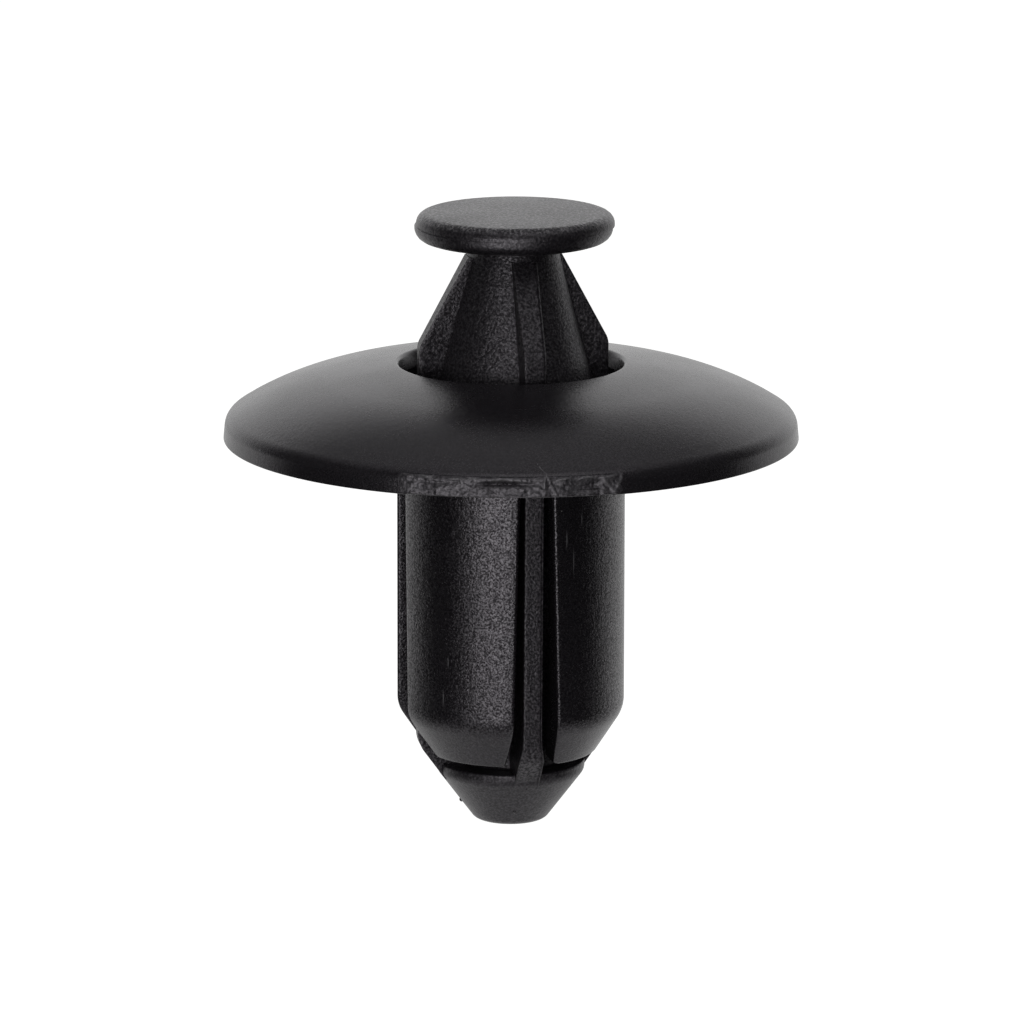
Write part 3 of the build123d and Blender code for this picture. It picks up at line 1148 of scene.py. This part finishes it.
# Studio: a white sweep behind and below, black flags at both sides, soft lamps in front.
# The camera sees white everywhere. Reflections see the same sweep, less what the flags hide.
# Turns are from the camera's side, seen from above; distances are millimetres.
studio = {
    "floorSize": 3000,
    "floorColour": "#f2f2f0",
    "floorGap": 6.6,  # the pushed pin's nose comes down this far
    "flagColour": "#202020",
    "glowToCamera": 0.78,
    "glowNear": 0.48,
    "nearReach": (12, 30),
    "glowFront": 1.9,
    "frontTurn": -12,
    "frontSpread": (0.86, 0.975),
    "frontFrom": (22, 50),
    "frontTo": (114, 170),
    "frontToShare": 0.55,
    "glowBehind": 0.6,
    "behindSpread": (0.10, 0.45),
    "sweepLevel": 0.98,
    "sweepSide": (0.30, 0.85),
    "sweepTop": (0.42, 1.0),
    "topLevel": 0.4,
    "topSpread": (0.55, 0.95),
    "flagLevel": 0.05,
    "roomLevel": 0.3,
    "lamps": {
        "lowFront": {"turn": -12, "rise": 3, "distance": 250, "size": (210, 62), "power": 0.13},
        "highFront": {"turn": 12, "rise": 52, "distance": 400, "size": (380, 220), "power": 0.20},
    },
}


def makeFloor():
    half = studio["floorSize"] * mm / 2
    mesh = bpy.data.meshes.new("floor")
    z = (pinLow.z - studio["floorGap"]) * mm
    corners = [(-half, -half, z), (half, -half, z), (half, half, z), (-half, half, z)]
    mesh.from_pydata(corners, [], [(0, 1, 2, 3)])
    floor = linkObject("floor", mesh)
    # matt card: no sheen of its own, and it glows only for the camera and in reflections
    material = bpy.data.materials.new("mattWhiteCard")
    material.use_nodes = True
    tree = material.node_tree
    shader = tree.nodes["Principled BSDF"]
    shader.inputs["Roughness"].default_value = 0.9
    shader.inputs["Specular IOR Level"].default_value = 0
    shader.inputs["Emission Strength"].default_value = 1
    coords = addNode(tree, "ShaderNodeTexCoord")
    flat = addNode(tree, "ShaderNodeVectorMath", {"operation": "MULTIPLY"}, {
        0: coords.outputs["Object"], 1: (1 / mm, 1 / mm, 0),
    })
    radius = addNode(tree, "ShaderNodeVectorMath", {"operation": "LENGTH"}, {0: flat.outputs[0]})
    outward = addNode(tree, "ShaderNodeVectorMath", {"operation": "NORMALIZE"}, {0: flat.outputs[0]})
    # how far each way runs from the camera's side, and from the middle of the card in front
    away = []
    for turn in (view["turn"], view["turn"] + studio["frontTurn"]):
        facing = addNode(tree, "ShaderNodeVectorRotate", {"rotation_type": "Z_AXIS"}, {
            "Vector": outward.outputs[0], "Angle": -radians(turn),
        })
        split = addNode(tree, "ShaderNodeSeparateXYZ", inputs={0: facing.outputs[0]})
        away.append(split.outputs["Y"])
    awayFromCamera, awayFromCard = away

    # white card lies close round the part, in front of it and behind it; flags stand at the sides
    distance = radius.outputs["Value"]
    frontLow, frontHigh = studio["frontSpread"]
    ranges = {
        "near": (distance, studio["nearReach"], (studio["glowNear"], 0.0)),
        "front": (awayFromCard, (-frontHigh, -frontLow), (studio["glowFront"], 0.0)),
        "frontFoot": (distance, studio["frontFrom"], (0.0, 1.0)),
        "frontEnd": (distance, studio["frontTo"], (1.0, studio["frontToShare"])),
        "behind": (awayFromCamera, studio["behindSpread"], (0.0, studio["glowBehind"])),
    }
    glow = {}
    for label, (value, source, target) in ranges.items():
        glow[label] = addNode(tree, "ShaderNodeMapRange", {"interpolation_type": "SMOOTHSTEP"}, {
            "Value": value, **dict(zip(rangeEnds, source + target)),
        }).outputs[0]
    path = addNode(tree, "ShaderNodeLightPath")
    glow["glossy"] = path.outputs["Is Glossy Ray"]
    glow["through"] = path.outputs["Is Transmission Ray"]
    for label, operation, first, second in (
        ("frontLength", "MULTIPLY", "frontFoot", "frontEnd"),
        ("frontHere", "MULTIPLY", "front", "frontLength"),
        ("ends", "MAXIMUM", "frontHere", "behind"),
        ("card", "MAXIMUM", "near", "ends"),
        ("mirrored", "ADD", "glossy", "through"),
        ("reflected", "MULTIPLY", "mirrored", "card"),
    ):
        glow[label] = addNode(tree, "ShaderNodeMath", {"operation": operation}, {
            0: glow[first], 1: glow[second],
        }).outputs[0]
    level = addNode(tree, "ShaderNodeMix", {"data_type": "FLOAT"}, {
        "Factor": path.outputs["Is Camera Ray"], 2: glow["reflected"], 3: studio["glowToCamera"],
    })
    shine = addNode(tree, "ShaderNodeCombineColor", inputs={i: level.outputs[0] for i in range(3)})
    white = addNode(tree, "ShaderNodeMath", {"operation": "ADD", "use_clamp": True}, {
        0: path.outputs["Is Camera Ray"], 1: glow["card"],
    })
    colour = addNode(tree, "ShaderNodeMix", {"data_type": "RGBA"}, {
        "Factor": white.outputs[0],
        6: hexColour(studio["flagColour"]), 7: hexColour(studio["floorColour"]),
    })
    tree.links.new(colour.outputs[2], shader.inputs["Base Color"])
    tree.links.new(shine.outputs[0], shader.inputs["Emission Color"])
    mesh.materials.append(material)


def makeWorld():
    world = bpy.data.worlds.new("studioSweep")
    bpy.context.scene.world = world
    world.use_nodes = True
    tree = world.node_tree
    coords = addNode(tree, "ShaderNodeTexCoord")
    facing = addNode(tree, "ShaderNodeVectorRotate", {"rotation_type": "Z_AXIS"}, {
        "Vector": coords.outputs["Generated"], "Angle": -radians(view["turn"]),
    })
    split = addNode(tree, "ShaderNodeSeparateXYZ", inputs={0: facing.outputs[0]})
    away, up = split.outputs["Y"], split.outputs["Z"]
    ranges = {
        "behind": (away, studio["sweepSide"], (0.0, studio["sweepLevel"])),
        "lowEnough": (up, studio["sweepTop"], (1.0, 0.0)),
        "above": (up, studio["topSpread"], (studio["flagLevel"], studio["topLevel"])),
    }
    light = {}
    for label, (value, source, target) in ranges.items():
        light[label] = addNode(tree, "ShaderNodeMapRange", {"interpolation_type": "SMOOTHSTEP"}, {
            "Value": value, **dict(zip(rangeEnds, source + target)),
        }).outputs[0]
    # the white background shows to the camera, in reflections and through glass alike
    path = addNode(tree, "ShaderNodeLightPath")
    light["camera"] = path.outputs["Is Camera Ray"]
    light["glossy"] = path.outputs["Is Glossy Ray"]
    light["through"] = path.outputs["Is Transmission Ray"]
    for label, operation, first, second in (
        ("sweep", "MULTIPLY", "behind", "lowEnough"),
        ("mirrored", "MAXIMUM", "sweep", "above"),
        ("background", "MAXIMUM", "camera", "mirrored"),
        ("reflected", "ADD", "glossy", "through"),
        ("shown", "ADD", "camera", "reflected"),
    ):
        settings = {"operation": operation, "use_clamp": label == "shown"}
        light[label] = addNode(tree, "ShaderNodeMath", settings, {
            0: light[first], 1: light[second],
        }).outputs[0]
    strength = addNode(tree, "ShaderNodeMix", {"data_type": "FLOAT"}, {
        "Factor": light["shown"], 2: studio["roomLevel"], 3: light["background"],
    })
    shader = tree.nodes["Background"]
    shader.inputs["Color"].default_value = hexColour("#ffffff")
    tree.links.new(strength.outputs[0], shader.inputs["Strength"])


def makeSoftbox(name, turn, rise, distance, size, power):
    # a large soft lamp that faces the part
    lamp = bpy.data.lights.new(name, "AREA")
    lamp.shape = "RECTANGLE"
    lamp.size, lamp.size_y = (side * mm for side in size)
    lamp.energy = power
    obj = linkObject(name, lamp)
    place = outwardAt(turn, rise) * distance * mm
    facing = (-place).to_track_quat("-Z", "Y").to_matrix().to_4x4()
    obj.matrix_world = Matrix.Translation(place) @ facing


makeFloor()
makeWorld()
for lampName, settings in studio["lamps"].items():
    makeSoftbox(lampName, **settings)
print("studio ready")

bpy.context.scene.view_settings.view_transform = "Standard"
